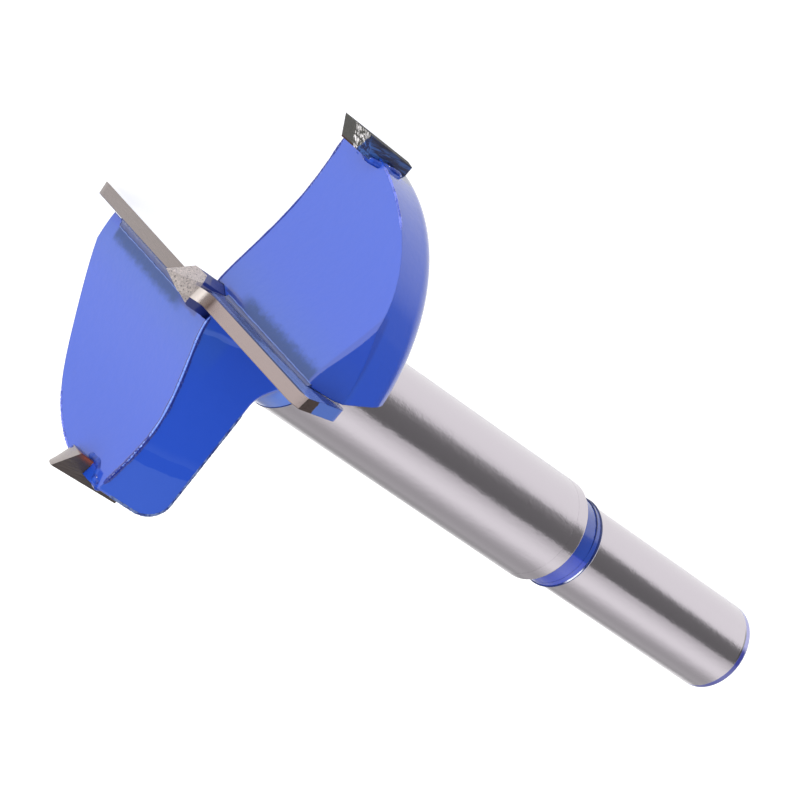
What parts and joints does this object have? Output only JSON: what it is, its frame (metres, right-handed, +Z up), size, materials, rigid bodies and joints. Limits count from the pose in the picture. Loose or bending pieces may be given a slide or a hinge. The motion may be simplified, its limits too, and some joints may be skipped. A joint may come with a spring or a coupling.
{
  "type": "wood boring bit",
  "caption": "Boring bit for flat-bottomed holes in wood: two dished wings, a carbide cutter with a centre point across the head, rim spurs, and a stepped round shank.",
  "frame": {"origin": "bottom centre of the bounding box of the bit as it lies at rest on a floor", "axes": "+X runs along the floor from the shank towards the cutting head, +Z is up; the bit's own axis rises from the shank end to the head by about 8.5 degrees"},
  "size_m": [0.0922, 0.043, 0.0355],
  "materials": {
    "painted_body": "glossy blue paint on the head, with a bare ground steel neck and shank",
    "carbide": "ground carbide, grey-brown"
  },
  "bodies": {
    "root": {"body": "painted_body", "cutter": "carbide", "spur_right": "carbide", "spur_left": "carbide"}
  },
  "joints": []
}
